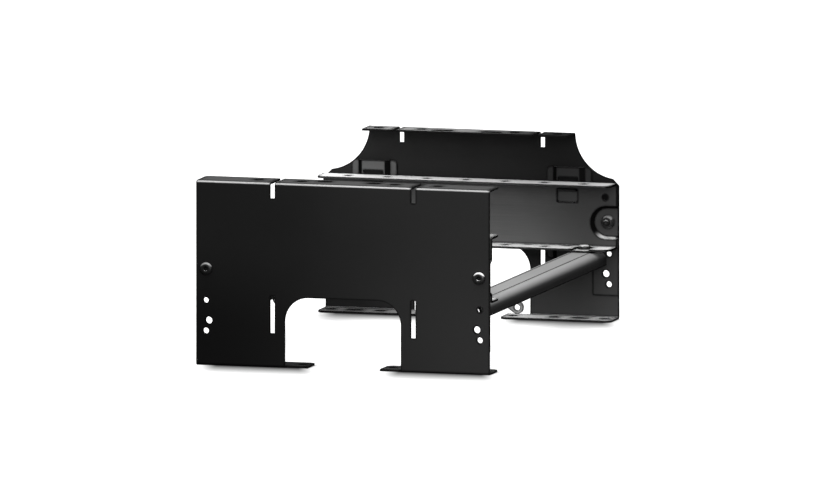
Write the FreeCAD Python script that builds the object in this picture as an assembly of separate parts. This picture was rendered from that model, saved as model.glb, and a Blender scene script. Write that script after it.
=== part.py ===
import FreeCAD, Part
import math
import os

from FreeCAD import Vector

# Rack cable trough: two folded sheet walls, a channel along the inside of each wall and
# two rails that cross from channel to channel and carry the cables.
# Frame: +X right, +Y to the rear, +Z up, origin on the floor under the middle.
# Each wall's own pieces are drawn with y counted inwards from that wall's outer face.

# Overall size, in millimetres
WIDTH = 300.0
DEPTH = 460.0
WALL_HEIGHT = 183.0
SHEET = 2.0
BEND_INSIDE = 1.0

# Walls: top lips, scooped rear corners and the slots for cable dividers
FRONT_LIP = 36.0
REAR_LIP = 29.0
LIP_CORNER = 5.0
SCOOP_RADIUS = 45.0
SHOULDER_CHAMFER = 6.0
DIVIDER_EDGE = 78.0
NOTCH_WIDTH = 4.5
NOTCH_DROP = 15.5
DIVIDER_SLOT_WIDTH = 4.6
DIVIDER_SLOT_LENGTH = 37.0
DIVIDER_SLOT_LOW = 34.0

# Holes along the top lips, measured from the divider notch on their side
LIP_HOLE_DIAMETER = 10.0
LIP_HOLE_OUTWARD = 19.5
LIP_HOLE_INWARD = 24.5
LIP_SLOT_INWARD = 47.0
LIP_SLOT_SHIFT = 4.0
LIP_SLOT_WIDTH = 9.0
FRONT_LIP_SLOT_LENGTH = 15.0
REAR_LIP_SLOT_LENGTH = 22.0

# Arch between the legs, and the feet folded inwards below the legs
ARCH_WIDTH = 118.6
ARCH_HEIGHT = 70.0
ARCH_RADIUS = 24.0
FOOT_DEPTH = 34.0
FOOT_REACH = 22.5
FOOT_CORNER = 7.0
FOOT_TIP_HOLE = 9.0
FOOT_TIP_INSET = 9.5
FOOT_HOLE = 11.0
FOOT_HOLE_EDGES = (10.0, 61.5)
FOOT_SLOT_EDGE = 35.0
FOOT_SLOT_LENGTH = 18.0
FOOT_SLOT_WIDTH = 9.0

# Channels on the inner faces of the walls
CHANNEL_LOW = 70.5
CHANNEL_HEIGHT = 65.0
CHANNEL_DEPTH = 30.0
CHANNEL_CORNER = 9.0
STANDOFF = 6.0
FLANGE_HOLE = 6.5
FLANGE_HOLE_STEPS = 3
FLANGE_HOLE_SETBACK = 16.0
TIE_SLOT_LENGTH = 7.0
TIE_SLOT_WIDTH = 3.0
TIE_SLOT_SETBACK = 6.5
WEB_HOLE = 6.0
WEB_HOLE_EDGE = 11.7
WEB_HOLE_RISE = 50.5

# Embossed recesses where a channel is screwed to its wall or bolted to a rail
EMBOSS_DRAFT = 0.42
RECESS_RADIUS = 14.0
JOGGLE_RADIUS = 8.6
JOGGLE_DEPTH = 1.5

# Hat brackets between wall and channel, with a hook tab through a window in the channel
HAT_EDGE = 50.5
HAT_SHEET = 1.5
HAT_FACE = 23.4
HAT_EAR = 6.8
HAT_BELOW = 12.5
HAT_ABOVE = 14.0
HAT_CORNER = 4.5
HOOK_RISE = 56.0
HOOK_WIDTH = 19.0
HOOK_PROUD = 2.5
HOOK_PLAY = 0.2
HOOK_SIDE_PLAY = 1.0
WINDOW_HEIGHT = 13.0
HAT_WINDOW_HEIGHT = 11.5
HAT_WINDOW_SIDE = 0.5

# Stiffening doublers behind the row of holes near each side edge
DOUBLER_SHEET = 1.5
DOUBLER_WIDTH = 26.5
DOUBLER_HEIGHT = 48.0
DOUBLER_DROP = 25.0
DOUBLER_CORNER = 1.0

# Holes near each side edge: distance from the edge, drop below the doubler's top, diameter
EDGE_HOLES = ((10.0, 6.5, 5.6), (13.0, 26.3, 7.0), (10.0, 36.7, 6.0))

# Crossing rails, each with two score lines along its top, and the eye below it
RAIL_EDGE = 29.5
RAIL_WIDTH = 38.0
RAIL_HEIGHT = 15.0
RAIL_SHOULDER = 10.0
RAIL_LINE_WIDTH = 1.0
RAIL_LINE_DEPTH = 0.5
RAIL_END_GAP = 2.0
EYE_SHEET = 3.0
EYE_RADIUS = 6.4
EYE_HOLE = 6.0
EYE_DROP = 11.3
EYE_SLOPE = 36.5
EYE_OFFSET = 1.3
EYE_FORWARD = 35.0

# Screws and nuts that hold the channels, size M6
SCREW_EDGE = 10.5
SCREW_RISE = 25.5
SCREW_SHANK = 6.0
SCREW_HEAD = 12.0
SCREW_HEAD_HEIGHT = 3.3
SCREW_HEAD_ROUND = 2.4
SCREW_SOCKET = 4.0
SCREW_SOCKET_DEPTH = 2.0
SCREW_NUT_FLATS = 10.0
SCREW_NUT_FLANGE = 13.6
SCREW_NUT_HEIGHT = 6.0

# Bolts and nuts that hold the rails, size M6
BOLT_SHANK = 6.0
BOLT_FLATS = 10.0
BOLT_HEAD_HEIGHT = 4.0
BOLT_NUT_FLANGE = 13.6
BOLT_NUT_HEIGHT = 6.0

# Fastener fits
HOLE_PLAY = 0.6
THREAD_PLAY = 0.2
FASTENER_PROUD = 2.0
NUT_FLANGE_HEIGHT = 1.4
HEX_CHAMFER = 1.7

# How far a cutting shape runs past the face that it cuts
PAST = 1.0

SIDES = (("left", -1.0), ("right", 1.0))
ENDS = ("front", "rear")

half_width = WIDTH / 2
bend_outside = BEND_INSIDE + SHEET
divider_x = half_width - DIVIDER_EDGE
arch_half = ARCH_WIDTH / 2
web_y = SHEET + STANDOFF
channel_top = CHANNEL_LOW + CHANNEL_HEIGHT
flange_hole_y = web_y + FLANGE_HOLE_SETBACK
screw_x = half_width - SCREW_EDGE
screw_z = CHANNEL_LOW + SCREW_RISE
hat_x = half_width - HAT_EDGE
hook_z = CHANNEL_LOW + HOOK_RISE
rail_x = half_width - RAIL_EDGE
rail_top = CHANNEL_LOW - JOGGLE_DEPTH
rail_low = rail_top - RAIL_HEIGHT
doubler_top = screw_z - DOUBLER_DROP


def block(x0, x1, y0, y1, z0, z1):
    """A box between two opposite corners."""
    return Part.makeBox(x1 - x0, y1 - y0, z1 - z0, Vector(x0, y0, z0))


def drill_wall(x, z, diameter, y1):
    """A round hole straight through a wall or web, from outside it to y1."""
    return Part.makeCylinder(diameter / 2, y1 + PAST, Vector(x, -PAST, z), Vector(0, 1, 0))


def drill_plate(x, y, diameter, z0, z1):
    """A round hole down through a flat lip, flange or foot."""
    return Part.makeCylinder(diameter / 2, z1 - z0 + 2 * PAST, Vector(x, y, z0 - PAST))


def slot_plate(x, y, length, width, z0, z1):
    """A slot with round ends, along X, down through a flat lip or foot."""
    reach = (length - width) / 2
    middle = block(x - reach, x + reach, y - width / 2, y + width / 2, z0 - PAST, z1 + PAST)
    ends = [drill_plate(x + reach * sign, y, width, z0, z1) for _, sign in SIDES]
    return middle.fuse(ends).removeSplitter()


def slot_wall(x, z0, length, width):
    """An upright square-ended slot through a wall."""
    return block(x - width / 2, x + width / 2, -PAST, SHEET + PAST, z0, z0 + length)


def plan_corner(x, y, sign, radius, z0, z1):
    """What rounds the inward corner (x, y) of a flat sheet whose end faces sign along X."""
    centre = x - sign * radius
    corner = block(min(x, centre), max(x, centre), y - radius, y, z0 - PAST, z1 + PAST)
    return corner.cut(drill_plate(centre, y - radius, 2 * radius, z0, z1))


def face_corner(x, z, sign_x, sign_z, radius, y0, y1):
    """What rounds the corner (x, z) of an upright sheet between y0 and y1."""
    centre_x = x - sign_x * radius
    centre_z = z - sign_z * radius
    corner = block(min(x, centre_x), max(x, centre_x), y0 - PAST, y1 + PAST,
                   min(z, centre_z), max(z, centre_z))
    length = y1 - y0 + 4 * PAST
    start = Vector(centre_x, y0 - 2 * PAST, centre_z)
    return corner.cut(Part.makeCylinder(radius, length, start, Vector(0, 1, 0)))


def prism(points, run):
    """The closed outline through points, pushed along run."""
    return Part.Face(Part.makePolygon(points + [points[0]])).extrude(run)


def round_edges(shape, radius, corners):
    """Round the edges that run along the sheet at each corner, given as its three ordinates.

    An ordinate of None is the direction that the edge runs in.
    """
    def lies_on(edge, corner):
        return all(abs(point[i] - corner[i]) < 1e-6
                   for vertex in edge.Vertexes for point in [tuple(vertex.Point)]
                   for i in range(3) if corner[i] is not None)

    edges = [edge for edge in shape.Edges if any(lies_on(edge, corner) for corner in corners)]
    return shape.makeFillet(radius, edges)


def folded_section(y0, low_depth, high_depth, z0, z1):
    """A sheet along X, upright at y0, with its low and high edges folded inwards."""
    outline = [(y0, z0), (y0, z1), (y0 + high_depth, z1), (y0 + high_depth, z1 - SHEET),
               (y0 + SHEET, z1 - SHEET), (y0 + SHEET, z0 + SHEET),
               (y0 + low_depth, z0 + SHEET), (y0 + low_depth, z0)]
    points = [Vector(-half_width, y, z) for y, z in outline]
    sheet = prism(points, Vector(WIDTH, 0, 0))
    sheet = round_edges(sheet, bend_outside, [(None, y0, z0), (None, y0, z1)])
    inner = [(None, y0 + SHEET, z0 + SHEET), (None, y0 + SHEET, z1 - SHEET)]
    return round_edges(sheet, BEND_INSIDE, inner)


def place(shape, end):
    """Move a piece drawn from a wall's outer face to the front or rear wall."""
    if end == "front":
        return shape.translated(Vector(0, -DEPTH / 2, 0))
    return shape.mirror(Vector(0, 0, 0), Vector(0, 1, 0)).translated(Vector(0, DEPTH / 2, 0))


def arch_cuts(foot_inner):
    """The arch between the legs, and the gap between the tips of the two feet."""
    arch = block(-arch_half, arch_half, -PAST, bend_outside, -PAST, ARCH_HEIGHT)
    for _, sign in SIDES:
        arch = arch.cut(face_corner(sign * arch_half, ARCH_HEIGHT, sign, 1, ARCH_RADIUS,
                                    -PAST, bend_outside))
    gap = block(-foot_inner, foot_inner, -PAST, FOOT_DEPTH + PAST, -PAST, bend_outside)
    return [arch, gap]


def foot_cuts(sign, foot_inner):
    """The rounded corners, holes and slot of one foot."""
    middle_y = (bend_outside + FOOT_DEPTH) / 2
    tip_x = sign * (foot_inner + FOOT_TIP_INSET)
    cuts = [plan_corner(sign * half_width, FOOT_DEPTH, sign, FOOT_CORNER, 0, SHEET),
            plan_corner(sign * foot_inner, FOOT_DEPTH, -sign, FOOT_CORNER, 0, SHEET),
            drill_plate(tip_x, middle_y, FOOT_TIP_HOLE, 0, SHEET)]
    for edge in FOOT_HOLE_EDGES:
        cuts.append(drill_plate(sign * (half_width - edge), middle_y, FOOT_HOLE, 0, SHEET))
    slot_x = sign * (half_width - FOOT_SLOT_EDGE)
    cuts.append(slot_plate(slot_x, middle_y, FOOT_SLOT_LENGTH, FOOT_SLOT_WIDTH, 0, SHEET))
    return cuts


def lip_cuts(sign, lip, slot_length):
    """The divider notch, holes and slot of one half of a top lip."""
    low = WALL_HEIGHT - SHEET
    middle_y = (bend_outside + lip) / 2
    notch_x = sign * divider_x
    cuts = [block(notch_x - NOTCH_WIDTH / 2, notch_x + NOTCH_WIDTH / 2, -PAST, lip + PAST,
                  WALL_HEIGHT - NOTCH_DROP, WALL_HEIGHT + PAST)]
    for x in (divider_x + LIP_HOLE_OUTWARD, divider_x - LIP_HOLE_INWARD):
        cuts.append(drill_plate(sign * x, middle_y, LIP_HOLE_DIAMETER, low, WALL_HEIGHT))
    slot_x = sign * (divider_x - LIP_SLOT_INWARD)
    slot_y = middle_y + LIP_SLOT_SHIFT
    cuts.append(slot_plate(slot_x, slot_y, slot_length, LIP_SLOT_WIDTH, low, WALL_HEIGHT))
    return cuts


def side_cuts(sign):
    """The divider slot, screw hole and edge holes on one side of a wall's face."""
    cuts = [slot_wall(sign * divider_x, DIVIDER_SLOT_LOW, DIVIDER_SLOT_LENGTH, DIVIDER_SLOT_WIDTH),
            drill_wall(sign * screw_x, screw_z, SCREW_SHANK + HOLE_PLAY, SHEET + PAST)]
    for edge, drop, diameter in EDGE_HOLES:
        x = sign * (half_width - edge)
        cuts.append(drill_wall(x, doubler_top - drop, diameter, SHEET + PAST))
    return cuts


def wall(lip, slot_length):
    """What both walls share: folded sheet, arch, feet, lip holes and face holes."""
    foot_inner = arch_half - FOOT_REACH
    cuts = arch_cuts(foot_inner)
    for _, sign in SIDES:
        cuts += foot_cuts(sign, foot_inner)
        cuts += lip_cuts(sign, lip, slot_length)
        cuts += side_cuts(sign)
    return folded_section(0, FOOT_DEPTH, lip, 0, WALL_HEIGHT).cut(cuts)


def front_wall():
    """The front wall: a full rectangle with a lip along its whole top."""
    corners = [plan_corner(sign * half_width, FRONT_LIP, sign, LIP_CORNER,
                           WALL_HEIGHT - SHEET, WALL_HEIGHT) for _, sign in SIDES]
    return wall(FRONT_LIP, FRONT_LIP_SLOT_LENGTH).cut(corners)


def rear_wall():
    """The rear wall: its top corners are scooped out so that cables can leave sideways."""
    cuts = []
    shoulder_z = WALL_HEIGHT - SCOOP_RADIUS
    for _, sign in SIDES:
        corner = Vector(sign * half_width, -PAST, WALL_HEIGHT)
        cuts.append(Part.makeCylinder(SCOOP_RADIUS, REAR_LIP + 2 * PAST, corner, Vector(0, 1, 0)))
        edge_x = sign * (half_width + PAST)
        inner_x = sign * (half_width - SHOULDER_CHAMFER - PAST)
        low_z = shoulder_z - SHOULDER_CHAMFER - PAST
        points = [Vector(edge_x, -PAST, low_z), Vector(edge_x, -PAST, shoulder_z + PAST),
                  Vector(inner_x, -PAST, shoulder_z + PAST)]
        cuts.append(prism(points, Vector(0, SHEET + 2 * PAST, 0)))
    return wall(REAR_LIP, REAR_LIP_SLOT_LENGTH).cut(cuts)


def tapered_recess(base, axis, run, low_radius, height):
    """A recess that widens along axis, round at its inner end and straight-sided along run."""
    high_radius = low_radius + EMBOSS_DRAFT * height
    across = axis.cross(run).normalize()
    top = base + axis * height
    points = [base - across * low_radius, base + across * low_radius,
              top + across * high_radius, top - across * high_radius]
    round_end = Part.makeCone(low_radius, high_radius, height, base, axis)
    return round_end.fuse(prism(points, run)).removeSplitter()


def emboss(sheet, floor, axis, run, radius, depth):
    """Press a recess with an open end into a sheet, at the same thickness all round.

    floor is the middle of the recess on the sheet's far side, axis points back to the sheet
    and run reaches from there to the sheet's free edge.
    """
    spread = SHEET * math.hypot(1, EMBOSS_DRAFT) - SHEET * EMBOSS_DRAFT
    past = run * ((run.Length + PAST) / run.Length)
    body = tapered_recess(floor, axis, run, radius + spread, depth + SHEET / 2)
    hollow = tapered_recess(floor + axis * SHEET, axis, past, radius, depth + PAST)
    return sheet.cut(hollow).fuse(body.cut(hollow)).removeSplitter()


def channel():
    """A channel along a wall: web on the hat brackets, flanges pointing into the trough."""
    sheet = folded_section(web_y, CHANNEL_DEPTH, CHANNEL_DEPTH, CHANNEL_LOW, channel_top)
    free_edge = web_y + CHANNEL_DEPTH
    step = rail_x / FLANGE_HOLE_STEPS
    for _, sign in SIDES:
        sheet = emboss(sheet, Vector(sign * screw_x, SHEET, screw_z), Vector(0, 1, 0),
                       Vector(sign * SCREW_EDGE, 0, 0), RECESS_RADIUS, STANDOFF)
        sheet = emboss(sheet, Vector(sign * rail_x, flange_hole_y, rail_top), Vector(0, 0, 1),
                       Vector(0, free_edge - flange_hole_y, 0), JOGGLE_RADIUS, JOGGLE_DEPTH)
    sheet = sheet.common(block(-half_width, half_width, 0, free_edge, 0, WALL_HEIGHT))
    cuts = []
    for _, sign in SIDES:
        cuts.append(plan_corner(sign * half_width, free_edge, sign, CHANNEL_CORNER,
                                rail_top, channel_top))
        cuts.append(drill_wall(sign * screw_x, screw_z, SCREW_SHANK + HOLE_PLAY, web_y))
        cuts.append(drill_plate(sign * rail_x, flange_hole_y, BOLT_SHANK + HOLE_PLAY,
                                rail_top, CHANNEL_LOW))
        cuts.append(drill_plate(sign * rail_x, flange_hole_y, FLANGE_HOLE,
                                channel_top - SHEET, channel_top))
        cuts.append(drill_wall(sign * (half_width - WEB_HOLE_EDGE), CHANNEL_LOW + WEB_HOLE_RISE,
                               WEB_HOLE, web_y + SHEET + PAST))
        cuts.append(hook_window(sign))
    for i in range(1 - FLANGE_HOLE_STEPS, FLANGE_HOLE_STEPS):
        cuts.append(drill_plate(i * step, flange_hole_y, FLANGE_HOLE, CHANNEL_LOW, channel_top))
    for i in range(-FLANGE_HOLE_STEPS, FLANGE_HOLE_STEPS):
        x = (i + 0.5) * step
        y = web_y + TIE_SLOT_SETBACK
        cuts.append(block(x - TIE_SLOT_LENGTH / 2, x + TIE_SLOT_LENGTH / 2,
                          y - TIE_SLOT_WIDTH / 2, y + TIE_SLOT_WIDTH / 2,
                          CHANNEL_LOW - PAST, CHANNEL_LOW + SHEET + PAST))
    return sheet.cut(cuts)


def hook_window(sign):
    """The window in a channel's web that drops over a hat bracket's hook."""
    reach = HOOK_WIDTH / 2 + HOOK_SIDE_PLAY
    top = hook_z + HAT_SHEET + HOOK_PLAY
    return block(sign * hat_x - reach, sign * hat_x + reach, web_y - PAST, web_y + SHEET + PAST,
                 top - WINDOW_HEIGHT, top)


def hat_bracket(sign):
    """A hat section on a wall that holds the channel off it and carries a hook tab."""
    low = CHANNEL_LOW - HAT_BELOW
    high = channel_top + HAT_ABOVE
    face = HAT_FACE / 2
    rise = STANDOFF - HAT_SHEET
    lean = HAT_SHEET * (math.sqrt(2) - 1)
    foot = face + rise
    outer = foot + HAT_EAR
    half = [(outer, SHEET), (foot - lean, SHEET), (face - lean, web_y - HAT_SHEET)]
    half_back = [(face, web_y), (foot, SHEET + HAT_SHEET), (outer, SHEET + HAT_SHEET)]
    mirrored = [(-x, y) for x, y in half]
    mirrored_back = [(-x, y) for x, y in half_back]
    outline = half + mirrored[::-1] + mirrored_back[::-1] + half_back
    middle = sign * hat_x
    points = [Vector(middle + x, y, low) for x, y in outline]
    hat = prism(points, Vector(0, 0, high - low))
    hook = block(middle - HOOK_WIDTH / 2, middle + HOOK_WIDTH / 2, web_y - HAT_SHEET,
                 web_y + SHEET + HOOK_PROUD, hook_z, hook_z + HAT_SHEET)
    reach = HOOK_WIDTH / 2 + HAT_WINDOW_SIDE
    window_low = hook_z + HAT_SHEET
    window = block(middle - reach, middle + reach, SHEET, web_y + PAST,
                   window_low, window_low + HAT_WINDOW_HEIGHT)
    corners = [face_corner(middle + side * outer, z, side, up, HAT_CORNER, SHEET, web_y)
               for _, side in SIDES for z, up in ((low, -1), (high, 1))]
    return hat.cut(corners + [window]).fuse(hook).removeSplitter()


def doubler(sign):
    """A flat plate that stiffens a wall behind its edge holes."""
    low = doubler_top - DOUBLER_HEIGHT
    inner = half_width - DOUBLER_WIDTH
    x0, x1 = sorted((sign * inner, sign * half_width))
    plate = block(x0, x1, SHEET, SHEET + DOUBLER_SHEET, low, doubler_top)
    cuts = [face_corner(sign * inner, z, -sign, up, DOUBLER_CORNER, SHEET, SHEET + DOUBLER_SHEET)
            for z, up in ((low, -1), (doubler_top, 1))]
    for edge, drop, diameter in EDGE_HOLES:
        x = sign * (half_width - edge)
        cuts.append(drill_wall(x, doubler_top - drop, diameter, SHEET + DOUBLER_SHEET + PAST))
    return plate.cut(cuts)


def rail(sign):
    """A round-shouldered rail, open below, under the lower flanges of both channels.

    A score line runs along its top where each shoulder begins.
    """
    reach = RAIL_WIDTH / 2
    inner = reach - SHEET
    end_y = DEPTH / 2 - web_y - RAIL_END_GAP
    middle = sign * rail_x
    outline = [(-reach, rail_low), (-reach, rail_top), (reach, rail_top), (reach, rail_low),
               (inner, rail_low), (inner, rail_top - SHEET),
               (-inner, rail_top - SHEET), (-inner, rail_low)]
    points = [Vector(middle + x, -end_y, z) for x, z in outline]
    bar = prism(points, Vector(0, 2 * end_y, 0))
    bar = round_edges(bar, RAIL_SHOULDER,
                      [(middle - reach, None, rail_top), (middle + reach, None, rail_top)])
    bar = round_edges(bar, RAIL_SHOULDER - SHEET,
                      [(middle - inner, None, rail_top - SHEET),
                       (middle + inner, None, rail_top - SHEET)])
    bolt_y = DEPTH / 2 - flange_hole_y
    cuts = [drill_plate(middle, y, BOLT_SHANK + HOLE_PLAY, rail_top - SHEET, rail_top)
            for y in (-bolt_y, bolt_y)]
    for _, side in SIDES:
        line_x = middle + side * (reach - RAIL_SHOULDER)
        cuts.append(block(line_x - RAIL_LINE_WIDTH / 2, line_x + RAIL_LINE_WIDTH / 2,
                          -end_y - PAST, end_y + PAST, rail_top - RAIL_LINE_DEPTH, rail_top + PAST))
    return bar.cut(cuts)


def rail_eye(sign):
    """A flat eye that slopes down and outwards from the inner lip of a rail."""
    lip_x = rail_x - RAIL_WIDTH / 2 + SHEET
    centre = Vector(rail_x + EYE_OFFSET, -EYE_FORWARD, rail_low - EYE_DROP)
    slope = math.radians(EYE_SLOPE)
    along = Vector(-math.cos(slope), 0, math.sin(slope))
    across = Vector(math.sin(slope), 0, math.cos(slope)) * EYE_RADIUS
    reach = along * ((centre.x - lip_x) / math.cos(slope) + 2 * EYE_RADIUS)
    strip = prism([centre + across, centre - across, centre - across + reach,
                   centre + across + reach], Vector(0, EYE_SHEET, 0))
    ring = Part.makeCylinder(EYE_RADIUS, EYE_SHEET, centre, Vector(0, 1, 0))
    hole_start = centre - Vector(0, PAST, 0)
    hole = Part.makeCylinder(EYE_HOLE / 2, EYE_SHEET + 2 * PAST, hole_start, Vector(0, 1, 0))
    beyond_lip = block(lip_x - 2 * RAIL_WIDTH, lip_x, -DEPTH / 2, DEPTH / 2, 0, WALL_HEIGHT)
    eye = strip.fuse(ring).removeSplitter().cut([hole, beyond_lip, rail(1.0)])
    eye = max(eye.Solids, key=lambda solid: solid.Volume)
    if sign < 0:
        return eye.mirror(Vector(0, 0, 0), Vector(1, 0, 0))
    return eye


def hex_prism(flats, z0, z1):
    """An upright hexagonal prism with its corners turned off at the top."""
    radius = flats / math.sqrt(3)
    points = [Vector(radius * math.cos(i * math.pi / 3), radius * math.sin(i * math.pi / 3), z0)
              for i in range(6)]
    body = prism(points, Vector(0, 0, z1 - z0))
    height = z1 - z0
    turned = Part.makeCone(flats / 2 + height * HEX_CHAMFER, flats / 2, height, Vector(0, 0, z0))
    return body.common(turned)


def flange_nut(flats, flange, height, bore):
    """A hexagon nut on its own round flange, standing on z = 0."""
    nut = hex_prism(flats, 0, height)
    skirt = Part.makeCone(flange / 2, flats / 2, NUT_FLANGE_HEIGHT * 2)
    rim = Part.makeCylinder(flange / 2, NUT_FLANGE_HEIGHT)
    hole = drill_plate(0, 0, bore, 0, height)
    return nut.fuse([skirt, rim]).cut(hole).removeSplitter()


def channel_screw(sign):
    """A round-headed socket screw through a wall and the channel's recess."""
    length = 2 * SHEET + SCREW_NUT_HEIGHT + FASTENER_PROUD
    head = Part.makeCylinder(SCREW_HEAD / 2, SCREW_HEAD_HEIGHT, Vector(0, 0, -SCREW_HEAD_HEIGHT))
    rim = [edge for edge in head.Edges if edge.Closed and edge.CenterOfMass.z < -PAST]
    head = head.makeFillet(SCREW_HEAD_ROUND, rim)
    socket = hex_prism(SCREW_SOCKET, -SCREW_HEAD_HEIGHT, -SCREW_HEAD_HEIGHT + SCREW_SOCKET_DEPTH)
    screw = head.cut(socket).fuse(Part.makeCylinder(SCREW_SHANK / 2, length))
    return stand_on_wall(screw, sign, 0)


def channel_nut(sign):
    """The flanged nut inside the channel's recess."""
    nut = flange_nut(SCREW_NUT_FLATS, SCREW_NUT_FLANGE, SCREW_NUT_HEIGHT,
                     SCREW_SHANK + THREAD_PLAY)
    return stand_on_wall(nut, sign, 2 * SHEET)


def stand_on_wall(shape, sign, y):
    """Turn an upright fastener to point inwards at a channel screw's place."""
    turned = shape.rotated(Vector(0, 0, 0), Vector(1, 0, 0), -90)
    return turned.translated(Vector(sign * screw_x, y, screw_z))


def rail_bolt(sign):
    """A hexagon bolt down through a channel's lower flange and the rail below it."""
    length = 2 * SHEET + BOLT_NUT_HEIGHT + FASTENER_PROUD
    head = hex_prism(BOLT_FLATS, 0, BOLT_HEAD_HEIGHT)
    bolt = head.fuse(Part.makeCylinder(BOLT_SHANK / 2, length, Vector(0, 0, -length)))
    return bolt.translated(Vector(sign * rail_x, flange_hole_y, rail_top + SHEET))


def rail_nut(sign):
    """The flanged nut inside the rail, under its top."""
    nut = flange_nut(BOLT_FLATS, BOLT_NUT_FLANGE, BOLT_NUT_HEIGHT, BOLT_SHANK + THREAD_PLAY)
    turned = nut.rotated(Vector(0, 0, 0), Vector(1, 0, 0), 180)
    return turned.translated(Vector(sign * rail_x, flange_hole_y, rail_top - SHEET))


def export(name, shape):
    """Write one piece as a STEP file named after its node."""
    shape.exportStep("parts/" + name + ".step")


os.makedirs("parts", exist_ok=True)
export("front_wall", place(front_wall(), "front"))
export("rear_wall", place(rear_wall(), "rear"))
for end in ENDS:
    export(end + "_channel", place(channel(), end))
for side, sign in SIDES:
    export(side + "_rail", rail(sign))
    export(side + "_rail_eye", rail_eye(sign))
    for end in ENDS:
        corner = end + "_" + side
        export(corner + "_hat_bracket", place(hat_bracket(sign), end))
        export(corner + "_doubler", place(doubler(sign), end))
        export(corner + "_channel_screw", place(channel_screw(sign), end))
        export(corner + "_channel_nut", place(channel_nut(sign), end))
        export(corner + "_rail_bolt", place(rail_bolt(sign), end))
        export(corner + "_rail_nut", place(rail_nut(sign), end))
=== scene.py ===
"""Looks of a rack cable trough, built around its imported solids.

model.glb gives the sheet pieces. This script dresses them in procedural finishes, puts threaded
fasteners and weld marks where the solids are plain, and sets up the studio and the camera.
Lengths are in metres, in the frame of the solids.
"""
import logging
import math
from abc import ABC, abstractmethod
from dataclasses import dataclass
from enum import Enum
from typing import Iterable, Optional, Sequence, Union

import bpy
from mathutils import Matrix, Vector


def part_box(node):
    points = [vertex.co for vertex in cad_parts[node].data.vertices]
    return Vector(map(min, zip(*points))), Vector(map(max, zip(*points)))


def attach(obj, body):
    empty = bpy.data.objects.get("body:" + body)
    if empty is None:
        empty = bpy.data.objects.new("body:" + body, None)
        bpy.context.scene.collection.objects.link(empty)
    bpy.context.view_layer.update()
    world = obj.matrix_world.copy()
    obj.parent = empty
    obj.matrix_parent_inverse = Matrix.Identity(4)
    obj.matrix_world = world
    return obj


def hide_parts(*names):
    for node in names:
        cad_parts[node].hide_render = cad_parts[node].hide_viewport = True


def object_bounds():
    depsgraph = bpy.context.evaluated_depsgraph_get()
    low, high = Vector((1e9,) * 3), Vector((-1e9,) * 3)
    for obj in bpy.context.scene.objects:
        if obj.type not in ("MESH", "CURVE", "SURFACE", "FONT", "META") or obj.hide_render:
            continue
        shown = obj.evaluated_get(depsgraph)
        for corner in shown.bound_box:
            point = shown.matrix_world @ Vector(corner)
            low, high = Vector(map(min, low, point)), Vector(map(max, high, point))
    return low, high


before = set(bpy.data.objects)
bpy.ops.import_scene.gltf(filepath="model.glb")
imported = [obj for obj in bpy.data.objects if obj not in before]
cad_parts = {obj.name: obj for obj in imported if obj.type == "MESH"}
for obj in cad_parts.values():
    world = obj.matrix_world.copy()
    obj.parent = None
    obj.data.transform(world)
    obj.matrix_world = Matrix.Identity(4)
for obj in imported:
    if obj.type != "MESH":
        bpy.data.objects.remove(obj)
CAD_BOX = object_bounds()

log = logging.getLogger("cable_trough")

MM = 0.001
BODY = "root"
IMAGE_WIDTH = 820
IMAGE_HEIGHT = 480

Colour = tuple[float, float, float]
Span = tuple[float, float]
Outline = Sequence[tuple[float, float]]


def grey(level: float) -> Colour:
    """A neutral colour."""
    return (level, level, level)


# Modelling: how near corners merge, how thick a cutting plane is, up to which angle shading is smooth,
# the slope of a hexagon's chamfer, and a thread's tooth in shares of its pitch.
WELD_DISTANCE = 0.004 * MM
PLANE_THICKNESS = 0.0001 * MM
SMOOTH_ANGLE = math.radians(35)
CHAMFER_ANGLE = math.radians(30)
TOOTH_DEPTH = 0.61
CREST_START, CREST_END, ROOT_START = 0.38, 0.5, 0.88
THREAD_STEPS = 32
SPARE_TURNS = 4

# Finishes: the colour of the painted shade and of the dark lines along edges, how far these reach from
# corners and edges, the spans over which the open share of a corner, the likeness of a rounded normal, a
# normal's shares, the height and a tone take effect, and then how strongly patterns and the painted light
# and shade show in the colour and in the sheen.
SHADE_AND_EDGE_DARK = grey(0.004)
CORNER_SHADE_REACH = 2.5 * MM
EDGE_REACH = 3.2 * MM
RAY_SAMPLES = 6
OPEN_SPAN = (0.35, 0.85)
LIKENESS_SPAN = (0.9, 0.99)
LEVEL_SPAN = (0.8, 0.95)
FLANK_SPAN = (0.75, 0.9)
FOLD_SPAN = (0.3, 0.55)
LESS_LIT_HEIGHTS = (90 * MM, 120 * MM)
SHEET_TONES = (0.3, 0.7)
PLATE_TONES = (0.25, 0.75)
TOP_LIGHT_LEAST, TOP_LIGHT_GAIN = 0.7, 0.6
WEAR_HIGHLIGHT_LEAST, WEAR_HIGHLIGHT_GAIN = 0.6, 0.8
FOOT_LIGHT_LEAST = 0.5
LIGHT_GRADIENT_GAIN = 0.8
CLOUD_GAIN, CLOUD_LEVEL = 0.5, 0.4
STREAK_SHARE = 0.55
CRYSTAL_GAIN, STAIN_GAIN = 0.5, 0.6
PEEL_SHEEN, STREAK_SHEEN, STAIN_SHEEN, CLOUD_SHEEN = 0.16, 0.14, 0.2, 0.1


class Slot(Enum):
    """The record's material slots."""

    WALL = "wall_paint"
    CHANNEL = "channel_metal"
    RAIL = "rail_metal"
    BRACKET = "bracket_paint"
    SCREW = "screw_black"
    BOLT = "bolt_zinc"


class End(Enum):
    """The two walls, each with the way that its inner face looks along Y."""

    FRONT = "front"
    REAR = "rear"

    @property
    def inward(self) -> float:
        """The sign of Y that points into the trough."""
        return 1.0 if self is End.FRONT else -1.0


class Side(Enum):
    """The two sides of the trough."""

    LEFT = "left"
    RIGHT = "right"


CORNERS = [(end, side) for end in End for side in Side]


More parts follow.
